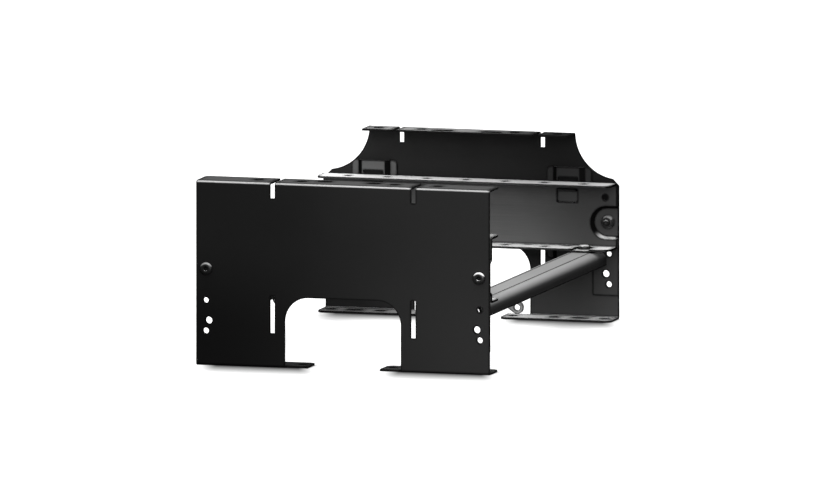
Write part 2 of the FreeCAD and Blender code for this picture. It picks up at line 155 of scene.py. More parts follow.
@dataclass(frozen=True)
class Value:
    """An output socket, with the sums that the finishes are written in.

    Args:
        tree: the tree that holds it.
        socket: the socket, or None where a node has no output.
    """

    tree: "Tree"
    socket: Optional[bpy.types.NodeSocket]

    def _sum(self, operation: str, first: "Number", second: "Number") -> "Value":
        """Add one Math node."""
        return self.tree.add("ShaderNodeMath", {"operation": operation}, {0: first, 1: second})

    def __add__(self, other: "Number") -> "Value":
        """Self plus other."""
        return self._sum("ADD", self, other)

    __radd__ = __add__

    def __sub__(self, other: "Number") -> "Value":
        """Self less other."""
        return self._sum("SUBTRACT", self, other)

    def __rsub__(self, other: "Number") -> "Value":
        """Other less self."""
        return self._sum("SUBTRACT", other, self)

    def __mul__(self, other: "Number") -> "Value":
        """Self times other."""
        return self._sum("MULTIPLY", self, other)

    __rmul__ = __mul__

    def __truediv__(self, other: "Number") -> "Value":
        """Self over other."""
        return self._sum("DIVIDE", self, other)

    def lower(self, other: "Number") -> "Value":
        """The lower of self and other."""
        return self._sum("MINIMUM", self, other)

    def higher(self, other: "Number") -> "Value":
        """The higher of self and other."""
        return self._sum("MAXIMUM", self, other)

    def size(self) -> "Value":
        """Self without its sign."""
        return self._sum("ABSOLUTE", self, 0.0)

    def along(self, axis: str) -> "Value":
        """A vector's share along X, Y or Z."""
        return self.tree.add("ShaderNodeSeparateXYZ", {}, {"Vector": self}, axis)

    def root(self) -> "Value":
        """The square root of self."""
        return self._sum("SQRT", self, 0.0)

    def swing(self, width: float) -> "Value":
        """How far self lies above or below a half, times width."""
        return (self - 0.5) * width

    def step(self, low: float, high: float) -> "Value":
        """A smooth step from 0 at low to 1 at high."""
        return self.tree.add("ShaderNodeMapRange", {"interpolation_type": "SMOOTHSTEP"},
                             {"Value": self, "From Min": low, "From Max": high})


Number = Union[float, Value]


class Tree:
    """A node tree that is filled one node at a time."""

    def __init__(self, tree: bpy.types.NodeTree) -> None:
        """Empty the tree.

        Args:
            tree: the material's or the world's own node tree.
        """
        tree.nodes.clear()
        self.nodes = tree.nodes
        self.links = tree.links

    def add(self, kind: str, settings: dict, inputs: dict, output: Union[int, str] = 0) -> Value:
        """Add one node.

        Args:
            kind: the node's type.
            settings: its own settings.
            inputs: values or links by socket name or number.
            output: the socket to return.

        Returns:
            That output socket.
        """
        node = self.nodes.new(kind)
        for name, setting in settings.items():
            setattr(node, name, setting)
        for name, given in inputs.items():
            if isinstance(given, Value):
                self.links.new(given.socket, node.inputs[name])
            else:
                node.inputs[name].default_value = given
        return Value(self, node.outputs[output] if len(node.outputs) else None)

    def noise(self, where: Value, scale: float, detail: float = 2.0) -> Value:
        """Soft noise from 0 to 1 with cells of about 1 / scale metres."""
        return self.add("ShaderNodeTexNoise", {}, {"Vector": where, "Scale": scale, "Detail": detail})

    def blend(self, share: Number, first: Union[Colour, Value], second: Union[Colour, Value]) -> Value:
        """Mix two colours.

        Args:
            share: how much of the second colour shows.
            first: the first colour.
            second: the second colour.

        Returns:
            The mixed colour.
        """
        given = [(*c, 1.0) if isinstance(c, tuple) else c for c in (first, second)]
        return self.add("ShaderNodeMix", {"data_type": "RGBA"},
                        {0: share, 6: given[0], 7: given[1]}, 2)


@dataclass(frozen=True)
class Finish(ABC):
    """A finish that a piece can wear.

    Args:
        name: the material's name.
        dark: its colour in the darker patches, and for a powder coat at the left end of its painted light
            gradient.
        light: its colour in the lighter patches, and for a powder coat at the right end of that gradient.
        roughness: its mean roughness.
        specular: the strength of its reflection head on.
        top: its colour on faces that look up, a painted light from above.
        lit_and_rubbed: the upward share of the normal at which that painted light starts and is full; faces
            above it also escape the painted shade on flanks.
        shaded_flanks: whether painted shade covers the faces that look neither along the trough nor up.
        top_less_lit: the top's colour high up at the right, where the painted top light is less, if it
            differs.
        less_lit_span: the places along X between which the painted top light goes over to that colour.
        top_edge_line: how much farther the dark line along an edge reaches on faces that look up.
    """

    name: str
    dark: Colour
    light: Colour
    roughness: float
    specular: float
    top: Colour
    lit_and_rubbed: Span = (0.5, 0.95)
    shaded_flanks: bool = False
    top_less_lit: Optional[Colour] = None
    less_lit_span: Span = (-150 * MM, 150 * MM)
    top_edge_line: float = 0.0

    def material(self) -> bpy.types.Material:
        """The finish's one material, made when it is first asked for."""
        made = bpy.data.materials.get(self.name)
        if made is None:
            made = bpy.data.materials.new(self.name)
            made.use_nodes = True
            self.mix(Tree(made.node_tree))
        return made

    @abstractmethod
    def mix(self, tree: Tree) -> None:
        """Fill the material's node tree."""

    def with_lit_tops(self, tree: Tree, colour: Value, patches: Value) -> Value:
        """Paint light onto the faces that look up, as if lit from above.

        Args:
            tree: the material's tree.
            colour: the colour elsewhere.
            patches: soft patches, from 0 to 1, that the painted light follows.

        Returns:
            The colour with painted light on its upper faces.
        """
        normal = tree.add("ShaderNodeTexCoord", {}, {}, "Normal")
        top = self.top
        # Less painted light on the top high up at the right.
        if self.top_less_lit is not None:
            where = tree.add("ShaderNodeTexCoord", {}, {}, "Object")
            light_gradient = where.along("X").step(*self.less_lit_span) * where.along("Z").step(*LESS_LIT_HEIGHTS)
            top = tree.blend(light_gradient, self.top, self.top_less_lit)
        # Painted light on faces that look up, in soft patches.
        share = normal.along("Z").step(*self.lit_and_rubbed) * (TOP_LIGHT_LEAST + TOP_LIGHT_GAIN * patches).lower(1.0)
        return tree.blend(share, colour, top)

    def unshaded_share(self, tree: Tree) -> Value:
        """The share left unshaded: 0 in corners and on flanks, where shade is painted, and along edges,
        which get dark lines.

        Args:
            tree: the material's tree.

        Returns:
            The share of the finish that shows.
        """
        # Painted shade in corners, where the AO node finds little open space.
        open_share = tree.add("ShaderNodeAmbientOcclusion", {"samples": RAY_SAMPLES},
                              {"Distance": CORNER_SHADE_REACH}, "AO")
        normal = tree.add("ShaderNodeNewGeometry", {}, {}, "Normal")
        level = normal.along("Z").step(*LEVEL_SPAN)
        # Dark lines along edges, where the rounded normal differs; in holes and inside corners they are
        # painted shade.
        rounded = tree.add("ShaderNodeBevel", {"samples": RAY_SAMPLES},
                           {"Radius": EDGE_REACH + level * self.top_edge_line})
        likeness = tree.add("ShaderNodeVectorMath", {"operation": "DOT_PRODUCT"},
                            {0: normal, 1: rounded}, "Value")
        share = open_share.step(*OPEN_SPAN) * likeness.step(*LIKENESS_SPAN)
        # Painted shade on faces that look neither along the trough nor up.
        if self.shaded_flanks:
            facing = tree.add("ShaderNodeTexCoord", {}, {}, "Normal")
            along = facing.along("Y").size().step(*FLANK_SPAN)
            share = share * along.higher(facing.along("Z").step(*self.lit_and_rubbed))
        return share

    def surface(self, tree: Tree, colour: Value, roughness: Value, height: Value, depth: float,
                shade_free: Optional[Value] = None) -> None:
        """Join colour, roughness, relief, painted shade and dark edge lines into the shader.

        Args:
            tree: the material's tree.
            colour: the base colour.
            roughness: the roughness.
            height: the relief, from 0 to 1.
            depth: how deep the relief is.
            shade_free: the share of the surface that the painted shade low down leaves, if there is any.
        """
        normal = tree.add("ShaderNodeBump", {}, {"Height": height, "Distance": depth})
        shader = tree.add("ShaderNodeBsdfPrincipled", {}, {
            "Base Color": colour, "Roughness": roughness, "Normal": normal,
            "Specular IOR Level": self.specular})
        # A dark matt shader stands in for the painted shade and the dark edge lines, and takes the
        # reflection away there.
        stain = tree.add("ShaderNodeBsdfDiffuse", {}, {"Color": (*SHADE_AND_EDGE_DARK, 1.0)})
        share = self.unshaded_share(tree) if shade_free is None else self.unshaded_share(tree) * shade_free
        mixed = tree.add("ShaderNodeMixShader", {}, {0: share, 1: stain, 2: shader})
        tree.add("ShaderNodeOutputMaterial", {}, {"Surface": mixed})

    def dress(self, piece: bpy.types.Object) -> None:
        """Put the finish on every slot of a piece."""
        if not piece.material_slots:
            piece.data.materials.append(None)
        for slot in piece.material_slots:
            slot.material = self.material()


@dataclass(frozen=True)
class PowderCoat(Finish):
    """Baked powder paint: orange peel, faint clouds, folds with wear and a painted highlight, and painted
    light and shade.

    Args:
        worn_highlight: the colour of the upper folds, which carry wear and a painted highlight.
        wear: how far that wear and painted highlight show.
        foot_light: the colour of painted light on the feet's upper faces.
        foot_light_height: the height up to which that painted light reaches.
        peel: the size of the orange peel's cells.
        cloud: the size of the clouds.
        peel_depth: how deep the orange peel is.
        rubbed_roughness: the roughness of the upper folds, which carry wear and a painted highlight.
        light_gradient_reach: how far to either side of the middle the painted light gradient goes from the
            dark colour to the light one.
        low_light: the colour of painted light on the legs low down, towards the end where the painted light
            gradient is full.
        low_light_heights: the heights between which that painted light thins out.
        low_shade: how much painted shade dulls the legs low down at the other end.
    """

    worn_highlight: Colour = grey(0.5)
    wear: float = 0.7
    foot_light: Colour = grey(0.1)
    foot_light_height: float = 3 * MM
    peel: float = 1.1 * MM
    cloud: float = 130 * MM
    peel_depth: float = 0.02 * MM
    rubbed_roughness: float = 0.3
    light_gradient_reach: float = 170 * MM
    low_light: Colour = grey(0.02)
    low_light_heights: Span = (30 * MM, 130 * MM)
    low_shade: float = 0.0

    def mix(self, tree: Tree) -> None:
        """Fill the material's node tree."""
        where = tree.add("ShaderNodeTexCoord", {}, {}, "Object")
        normal = tree.add("ShaderNodeTexCoord", {}, {}, "Normal")
        up = normal.along("Z")
        clouds = tree.noise(where, 1 / self.cloud)
        peel = tree.noise(where, 1 / self.peel, detail=1.0)
        # A painted light gradient from the left end to the right end.
        light_gradient = where.along("X").step(-self.light_gradient_reach, self.light_gradient_reach)
        # Upper folds: wear, and a painted highlight along the bend.
        folded = up.lower(normal.along("Y").size()).step(*FOLD_SPAN)
        fold = folded * (WEAR_HIGHLIGHT_LEAST + WEAR_HIGHLIGHT_GAIN * clouds) * self.wear
        lightness = LIGHT_GRADIENT_GAIN * light_gradient + CLOUD_GAIN * (clouds - CLOUD_LEVEL)
        paint = tree.blend(lightness.step(0.0, 1.0), self.dark, self.light)
        height = where.along("Z")
        # Painted light low down, towards the end where the painted light gradient is full.
        leg = 1 - height.step(*self.low_light_heights)
        paint = tree.blend(light_gradient * leg, paint, self.low_light)
        # Painted light on the feet's upper faces, in patches, more towards the right.
        low = 1 - height.step(self.foot_light_height, 2 * self.foot_light_height)
        foot_lit = up.step(*LEVEL_SPAN) * low * light_gradient * (FOOT_LIGHT_LEAST + clouds).lower(1.0)
        with_lit_tops = tree.blend(foot_lit, self.with_lit_tops(tree, paint, clouds), self.foot_light)
        colour = tree.blend(fold, with_lit_tops, self.worn_highlight)
        roughness = self.roughness + peel.swing(PEEL_SHEEN) + clouds.swing(CLOUD_SHEEN)
        # The folds are glossier, which goes with their wear and painted highlight.
        lit_and_rubbed = roughness * (1 - fold) + fold * self.rubbed_roughness
        # Painted shade low down at the left end, which dulls the reflection there.
        shade_free = 1 - self.low_shade * leg * (1 - light_gradient) if self.low_shade else None
        self.surface(tree, colour, lit_and_rubbed, peel, self.peel_depth, shade_free)


@dataclass(frozen=True)
class RolledSheet(Finish):
    """Coated steel sheet with a faint grain along the way that it was rolled, and painted light on upper
    faces.

    Args:
        grain: the size of the grain's cells along X, Y and Z.
        grain_depth: how deep the grain is.
        cloud: the size of the clouds.
        right_shade: its colour towards the right end, a painted shade, if it differs.
        right_shade_span: the places along X between which that painted shade comes in.
    """

    grain: tuple[float, float, float] = (60 * MM, 0.8 * MM, 0.8 * MM)
    grain_depth: float = 0.006 * MM
    cloud: float = 90 * MM
    right_shade: Optional[Colour] = None
    right_shade_span: Span = (20 * MM, 130 * MM)

    def mix(self, tree: Tree) -> None:
        """Fill the material's node tree."""
        where = tree.add("ShaderNodeTexCoord", {}, {}, "Object")
        stretched = tree.add("ShaderNodeMapping", {}, {
            "Vector": where, "Scale": tuple(1 / size for size in self.grain)})
        streaks = tree.noise(stretched, 1.0, detail=3.0)
        clouds = tree.noise(where, 1 / self.cloud)
        tone = STREAK_SHARE * streaks + (1 - STREAK_SHARE) * clouds
        sheet = tree.blend(tone.step(*SHEET_TONES), self.dark, self.light)
        if self.right_shade is not None:
            # Painted shade towards the right end.
            sheet = tree.blend(where.along("X").step(*self.right_shade_span), sheet, self.right_shade)
        # Faces that look up get painted light.
        colour = self.with_lit_tops(tree, sheet, tone)
        roughness = self.roughness + streaks.swing(STREAK_SHEEN) + clouds.swing(CLOUD_SHEEN)
        self.surface(tree, colour, roughness, streaks, self.grain_depth)


@dataclass(frozen=True)
class PlatedSteel(Finish):
    """Plated or blackened steel of a fastener, with fine crystals and a painted highlight on upper faces.

    Args:
        crystal: the size of the crystals.
        crystal_depth: how deep they are.
        stain: the size of the stains.
    """

    crystal: float = 0.5 * MM
    crystal_depth: float = 0.004 * MM
    stain: float = 4 * MM

    def mix(self, tree: Tree) -> None:
        """Fill the material's node tree."""
        where = tree.add("ShaderNodeTexCoord", {}, {}, "Object")
        crystals = tree.add("ShaderNodeTexVoronoi", {}, {"Vector": where, "Scale": 1 / self.crystal})
        stains = tree.noise(where, 1 / self.stain)
        tone = CRYSTAL_GAIN * crystals + STAIN_GAIN * stains
        plate = tree.blend(tone.step(*PLATE_TONES), self.dark, self.light)
        # Faces that look up get a painted highlight.
        colour = self.with_lit_tops(tree, plate, stains)
        roughness = self.roughness + stains.swing(STAIN_SHEEN)
        self.surface(tree, colour, roughness, crystals, self.crystal_depth)


# In the finishes below, the top colours are painted light from above, and the colours at the right end, low
# down and on the feet are painted light and shade; the hat brackets and screws come as copies lit on one
# side and shaded on the other.
FRONT_WALL_BLACK = PowderCoat(
    "front_wall_black_powder", dark=grey(0.004), light=grey(0.016), roughness=0.65, specular=0.15,
    top=grey(0.05), low_light=grey(0.02), top_edge_line=6 * MM, low_shade=0.75)
REAR_WALL_BLACK = PowderCoat(
    "rear_wall_black_powder", dark=grey(0.016), light=grey(0.002), roughness=0.65, specular=0.15,
    top=grey(0.24), foot_light=grey(0.85), low_light=grey(0.045), top_less_lit=grey(0.003),
    less_lit_span=(-40 * MM, 85 * MM), top_edge_line=6 * MM)
BRACKET_LIT_LEFT = PowderCoat(
    "bracket_lit_left_powder", dark=grey(0.08), light=grey(0.1), roughness=0.55, specular=0.3,
    top=grey(0.1), shaded_flanks=True, worn_highlight=grey(0.2), wear=0.4)
BRACKET_SHADED_RIGHT = PowderCoat(
    "bracket_shaded_right_powder", dark=grey(0.008), light=grey(0.012), roughness=0.55, specular=0.2,
    top=grey(0.1), shaded_flanks=True, worn_highlight=grey(0.2), wear=0.4, low_light=grey(0.06),
    low_light_heights=(129 * MM, 137 * MM))
CHANNEL_GRAPHITE = RolledSheet(
    "channel_graphite_coat", dark=grey(0.075), light=grey(0.095), roughness=0.45, specular=0.4,
    top=grey(0.9), shaded_flanks=True, top_less_lit=grey(0.45), top_edge_line=4 * MM, right_shade=grey(0.034))
RAIL_SILVER = RolledSheet(
    "rail_silver_coat", dark=grey(0.008), light=grey(0.014), roughness=0.5, specular=0.2,
    top=grey(0.3), lit_and_rubbed=(0.25, 0.98), grain=(0.8 * MM, 70 * MM, 0.8 * MM))
EYE_STEEL = RolledSheet(
    "eye_grey_steel", dark=grey(0.6), light=grey(0.75), roughness=0.45, specular=0.5,
    top=grey(0.8), grain=(9 * MM, 0.8 * MM, 9 * MM))
SCREW_SHADED_LEFT = PlatedSteel(
    "screw_shaded_left_oxide", dark=grey(0.006), light=grey(0.012), roughness=0.4, specular=0.25,
    top=grey(0.3), lit_and_rubbed=(0.2, 0.55))
SCREW_LIT_RIGHT = PlatedSteel(
    "screw_lit_right_oxide", dark=grey(0.01), light=grey(0.02), roughness=0.3, specular=0.4,
    top=grey(0.95), lit_and_rubbed=(0.2, 0.55))
NUT_BLACK = PlatedSteel(
    "nut_black_oxide", dark=grey(0.015), light=grey(0.03), roughness=0.35, specular=0.4,
    top=grey(0.5), lit_and_rubbed=(0.3, 0.8))
BOLT_ZINC = PlatedSteel(
    "bolt_zinc_plate", dark=grey(0.01), light=grey(0.02), roughness=0.35, specular=0.5,
    top=grey(0.95), lit_and_rubbed=(0.3, 0.7))
# The hat brackets are one paint: a lit copy on the left and a shaded copy on the right.
BRACKET_FINISHES = {Side.LEFT: BRACKET_LIT_LEFT, Side.RIGHT: BRACKET_SHADED_RIGHT}


class Bench:
    """A modelling bench: operators on one piece at a time, with its axis along Z."""

    @staticmethod
    def edit(piece: bpy.types.Object) -> None:
        """Select one piece alone, open it for editing and select all of it."""
        bpy.ops.object.select_all(action="DESELECT")
        piece.select_set(True)
        bpy.context.view_layer.objects.active = piece
        bpy.ops.object.mode_set(mode="EDIT")
        bpy.ops.mesh.select_all(action="SELECT")

    @staticmethod
    def close(piece: bpy.types.Object) -> None:
        """Merge the open piece's doubles and slivers, turn its faces outwards and leave edit mode."""
        bpy.ops.mesh.select_all(action="SELECT")
        bpy.ops.mesh.remove_doubles(threshold=WELD_DISTANCE)
        bpy.ops.mesh.dissolve_degenerate(threshold=WELD_DISTANCE)
        bpy.ops.mesh.normals_make_consistent(inside=False)
        bpy.ops.object.mode_set(mode="OBJECT")
        piece.select_set(False)

    @classmethod
    def draw(cls, outline: Outline) -> bpy.types.Object:
        """Draw a line through points in the XZ plane by extruding one corner.

        Args:
            outline: radius and height of each point.

        Returns:
            The line, open in edit mode with all of it selected.
        """
        bpy.ops.object.select_all(action="DESELECT")
        bpy.ops.mesh.primitive_plane_add(size=MM)
        piece = bpy.context.object
        cls.edit(piece)
        bpy.ops.mesh.merge(type="CENTER")
        radius, height = outline[0]
        bpy.ops.transform.translate(value=(radius, 0, height))
        for (x0, z0), (x1, z1) in zip(outline, outline[1:]):
            bpy.ops.mesh.extrude_region_move(TRANSFORM_OT_translate={"value": (x1 - x0, 0, z1 - z0)})
        bpy.ops.mesh.select_all(action="SELECT")
        return piece

    @classmethod
    def turn(cls, outline: Outline, steps: int = 48) -> bpy.types.Object:
        """Spin an outline round Z, as on a lathe.

        Args:
            outline: radius and height of each point, from axis to axis.
            steps: faces round the piece.

        Returns:
            The closed piece.
        """
        piece = cls.draw(outline)
        bpy.ops.mesh.spin(steps=steps, angle=math.tau, center=(0, 0, 0), axis=(0, 0, 1))
        cls.close(piece)
        return piece

    @classmethod
    def hexagon(cls, flats: float, low: float, high: float) -> bpy.types.Object:
        """A hexagonal bar, to be turned or to cut a socket.

        Args:
            flats: the size across its flats.
            low: the height of its lower face.
            high: the height of its upper face.

        Returns:
            The bar.
        """
        bpy.ops.object.select_all(action="DESELECT")
        bpy.ops.mesh.primitive_cylinder_add(vertices=6, radius=flats / math.sqrt(3),
                                            depth=high - low)
        piece = bpy.context.object
        cls.edit(piece)
        bpy.ops.transform.translate(value=(0, 0, (low + high) / 2))
        cls.close(piece)
        return piece

    @classmethod
    def thread(cls, radius: float, pitch: float, low: float, high: float) -> bpy.types.Object:
        """A threaded rod with flat ends.

        Args:
            radius: the crest's radius.
            pitch: the rise of one turn.
            low: the height of its lower end.
            high: the height of its upper end.

        Returns:
            The rod.
        """
        root = radius - TOOTH_DEPTH * pitch
        start = low - SPARE_TURNS / 2 * pitch
        tooth = [(root, start), (radius, start + CREST_START * pitch), (radius, start + CREST_END * pitch),
                 (root, start + ROOT_START * pitch), (root, start + pitch)]
        piece = cls.draw(tooth)
        bpy.ops.object.mode_set(mode="OBJECT")
        spiral = piece.modifiers.new("thread", "SCREW")
        spiral.screw_offset = pitch
        spiral.iterations = math.ceil((high - low) / pitch) + SPARE_TURNS
        spiral.steps = spiral.render_steps = THREAD_STEPS
        bpy.ops.object.modifier_apply(modifier=spiral.name)
        cls.edit(piece)
        bpy.ops.mesh.remove_doubles(threshold=WELD_DISTANCE)
        for height, up in ((low, -1), (high, 1)):
            bpy.ops.mesh.select_all(action="SELECT")
            bpy.ops.mesh.bisect(plane_co=(0, 0, height), plane_no=(0, 0, up), use_fill=True,
                                clear_outer=True, threshold=PLANE_THICKNESS)
        cls.close(piece)
        return piece

    @classmethod
    def apply(cls, piece: bpy.types.Object, modifier: bpy.types.Modifier) -> None:
        """Apply a modifier, then merge the piece's doubles and turn its faces outwards."""
        bpy.ops.object.select_all(action="DESELECT")
        bpy.context.view_layer.objects.active = piece
        bpy.ops.object.modifier_apply(modifier=modifier.name)
        cls.edit(piece)
        cls.close(piece)

    @classmethod
    def carve(cls, piece: bpy.types.Object, tool: bpy.types.Object, operation: str) -> bpy.types.Object:
        """Cut, join or trim a piece with another, which is used up.

        Args:
            piece: the piece that is kept.
            tool: the other piece.
            operation: DIFFERENCE, UNION or INTERSECT.

        Returns:
            The piece.
        """
        cut = piece.modifiers.new("carve", "BOOLEAN")
        cut.operation = operation
        cut.object = tool
        cls.apply(piece, cut)
        bpy.data.objects.remove(tool)
        return piece

    @classmethod
    def soften(cls, piece: bpy.types.Object, width: float) -> bpy.types.Object:
        """Break a piece's sharp edges by a narrow bevel."""
        bevel = piece.modifiers.new("soften", "BEVEL")
        bevel.width = width
        bevel.segments = 2
        bevel.limit_method = "ANGLE"
        bevel.angle_limit = SMOOTH_ANGLE
        cls.apply(piece, bevel)
        return piece

    @staticmethod
    def join(pieces: Iterable[bpy.types.Object]) -> bpy.types.Object:
        """Make one object of several and shade its round faces smooth.

        Args:
            pieces: the pieces, the first of which stays.

        Returns:
            The joined piece.
        """
        bpy.ops.object.select_all(action="DESELECT")
        first, *rest = pieces
        for piece in (first, *rest):
            piece.select_set(True)
        bpy.context.view_layer.objects.active = first
        if rest:
            bpy.ops.object.join()
        bpy.ops.object.shade_smooth_by_angle(angle=SMOOTH_ANGLE)
        first.select_set(False)
        return first

    @staticmethod
    def copy(model: bpy.types.Object, place: Matrix) -> bpy.types.Object:
        """A copy of a model with its own mesh, its place put into that mesh."""
        piece = model.copy()
        piece.data = model.data.copy()
        piece.data.transform(place)
        bpy.context.scene.collection.objects.link(piece)
        return piece


def round_corner(radius: float, height: float, size: float, count: int = 8) -> list[tuple[float, float]]:
    """The points of a rounded upper rim, from its side to its top.

    Args:
        radius: the outer radius.
        height: the height of the top.
        size: the rounding's own radius.
        count: the arc's divisions.

    Returns:
        Radius and height of each point.
    """
    angles = [math.pi / 2 * i / count for i in range(count + 1)]
    return [(radius - size + size * math.cos(a), height - size + size * math.sin(a)) for a in angles]


@dataclass(frozen=True)
class Fastener(ABC):
    """A fastener whose axis is Z, with its bearing face at height 0.

    Args:
        suffix: the end of the name of the nodes that it stands for.
        slot: the record's slot that it belongs to; not used.
        finish: the finish that it wears.
        sides: the sides of the trough on which it stands.
    """

    suffix: str
    slot: Slot
    finish: Finish
    sides: tuple[Side, ...] = tuple(Side)

    @abstractmethod
    def model(self) -> bpy.types.Object:
        """Model the fastener once, at the origin."""

    @abstractmethod
    def place(self, node: str, end: End) -> Matrix:
        """Where a copy stands for a node, read from the node's box."""

    def build(self) -> list[bpy.types.Object]:
        """Model the fastener and put a copy in place of each of its nodes.

        Returns:
            The copies.
        """
        model = self.model()
        made = []
        for end, side in CORNERS:
            if side not in self.sides:
                continue
            node = f"{end.value}_{side.value}_{self.suffix}"
            piece = Bench.copy(model, self.place(node, end))
            piece.name = f"{node}_threaded"
            self.finish.dress(piece)
            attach(piece, BODY)
            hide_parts(node)
            made.append(piece)
        bpy.data.objects.remove(model)
        return made


def box_middle(node: str) -> Vector:
    """The middle of a node's box."""
    low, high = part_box(node)
    return (low + high) / 2


def below_top(node: str, drop: float) -> Matrix:
    """A place in the middle of a node's box, a drop below its top."""
    middle = box_middle(node)
    return Matrix.Translation((middle.x, middle.y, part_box(node)[1].z - drop))


def outer_face(node: str, end: End) -> float:
    """The place along Y of the side of a node's box that looks out of the trough."""
    low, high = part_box(node)
    return low.y if end is End.FRONT else high.y


def turned_in(end: End, place: Sequence[float]) -> Matrix:
    """A place with +Z turned to point from a wall into the trough."""
    return Matrix.Translation(place) @ Matrix.Rotation(-math.pi / 2 * end.inward, 4, "X")


def along_wall(node: str, end: End, bearing_depth: float) -> Matrix:
    """Turn a fastener's axis into a wall and set its bearing face on a plane.

    Args:
        node: the node that it stands for.
        end: the wall.
        bearing_depth: how far the bearing face lies inside the node's outer end.

    Returns:
        The place, with +Z turned to point into the trough.
    """
    middle = box_middle(node)
    return turned_in(end, (middle.x, outer_face(node, end) + end.inward * bearing_depth, middle.z))


@dataclass(frozen=True)
class Threaded(Fastener):
    """A fastener with a threaded shank.

    Args:
        diameter: the thread's outer diameter.
        pitch: the thread's pitch.
        length: the shank's length.
    """

    diameter: float = 6 * MM
    pitch: float = 1 * MM
    length: float = 12 * MM


@dataclass(frozen=True)
class ButtonScrew(Threaded):
    """A button-head socket screw, head below height 0 and shank above it.

    Args:
        head: the head's diameter.
        head_height: the head's height.
        head_round: the radius of the head's rounded rim.
        socket: the socket's size across its flats.
        socket_depth: the socket's depth.
        edge: the width of broken edges.
    """

    head: float = 12 * MM
    head_height: float = 3.3 * MM
    head_round: float = 2.4 * MM
    socket: float = 4 * MM
    socket_depth: float = 2 * MM
    edge: float = 0.15 * MM

    def model(self) -> bpy.types.Object:
        """Model the screw once, at the origin."""
        rim = round_corner(self.head / 2, self.head_height, self.head_round)
        dome = [(radius, -height) for radius, height in reversed(rim)]
        outline = [(0, -self.head_height), *dome, (self.head / 2, -self.edge),
                   (self.head / 2 - self.edge, 0), (0, 0)]
        head = Bench.turn(outline)
        floor = -self.head_height + self.socket_depth
        Bench.carve(head, Bench.hexagon(self.socket, -self.head_height - self.edge, floor), "DIFFERENCE")
        mouth = self.socket / math.sqrt(3) + 2 * self.edge
        flare = Bench.turn([(0, -self.head_height - self.edge), (mouth, -self.head_height - self.edge),
                            (0, -self.head_height + mouth - self.edge)])
        Bench.carve(head, flare, "DIFFERENCE")
        shank = Bench.thread(self.diameter / 2, self.pitch, -self.edge, self.length)
        point = self.diameter / 2
        trim = Bench.turn([(0, -self.pitch), (point + self.edge, -self.pitch),
                           (point + self.edge, self.length - self.pitch / 2),
                           (point - self.pitch / 2, self.length), (0, self.length)])
        return Bench.join([head, Bench.carve(shank, trim, "INTERSECT")])

    def place(self, node: str, end: End) -> Matrix:
        """Where a copy stands for a node, read from the node's box."""
        return along_wall(node, end, self.head_height)


@dataclass(frozen=True)
class FlangeNut(Fastener):
    """A hexagon nut on a flange, standing on height 0.

    Args:
        diameter: the diameter of its thread.
        flats: the size across its flats.
        flange: the flange's diameter.
        height: the whole height.
        rim: the flange's thickness at its rim.
        face: the share of the flats that the upper face takes.
        slope: the share of the height to which the flange slopes up.
        edge: the width of broken edges.
    """

    diameter: float = 6 * MM
    flats: float = 10 * MM
    flange: float = 13.6 * MM
    height: float = 6 * MM
    rim: float = 1.1 * MM
    face: float = 0.94
    slope: float = 0.45
    edge: float = 0.2 * MM

    def model(self) -> bpy.types.Object:
        """Model the nut once, at the origin."""
        nut = chamfered_hexagon(self.flats, self.rim, self.height, self.face)
        half = self.flange / 2
        skirt = Bench.turn([(0, 0), (half - self.edge, 0), (half, self.edge), (half, self.rim),
                            (half - self.edge, self.rim + self.edge),
                            (self.flats / 2, self.height * self.slope), (0, self.height * self.slope)])
        Bench.carve(nut, skirt, "UNION")
        Bench.soften(nut, self.edge / 2)
        bore = self.diameter / 2 + self.edge / 2
        drill = Bench.turn([(0, -self.edge), (bore, -self.edge), (bore, self.height - 2 * self.edge),
                            (bore + 3 * self.edge, self.height + self.edge), (0, self.height + self.edge)])
        Bench.carve(nut, drill, "DIFFERENCE")
        return Bench.join([nut])

    def place(self, node: str, end: End) -> Matrix:
        """Where a copy stands for a node, read from the node's box."""
        return along_wall(node, end, 0.0)


@dataclass(frozen=True)
class RailNut(FlangeNut):
    """The same nut where it hangs below a rail's top."""

    def place(self, node: str, end: End) -> Matrix:
        """Where a copy stands for a node, read from the node's box."""
        return below_top(node, 0.0) @ Matrix.Rotation(math.pi, 4, "X")


def chamfered_hexagon(flats: float, low: float, high: float, face: float) -> bpy.types.Object:
    """A hexagonal bar whose upper corners are turned off at thirty degrees.

    Args:
        flats: the size across its flats.
        low: the height of its lower face.
        high: the height of its upper face.
        face: the share of the flats that its upper face takes.

    Returns:
        The bar.
    """
    bar = Bench.hexagon(flats, low, high)
    corner = flats / math.sqrt(3)
    inside = face * flats / 2
    drop = (corner - inside) * math.tan(CHAMFER_ANGLE)
    wide = 2 * corner - inside
    barrel = Bench.turn([(0, low - MM), (wide, low - MM), (wide, high - 2 * drop), (inside, high),
                         (0, high)])
    return Bench.carve(bar, barrel, "INTERSECT")


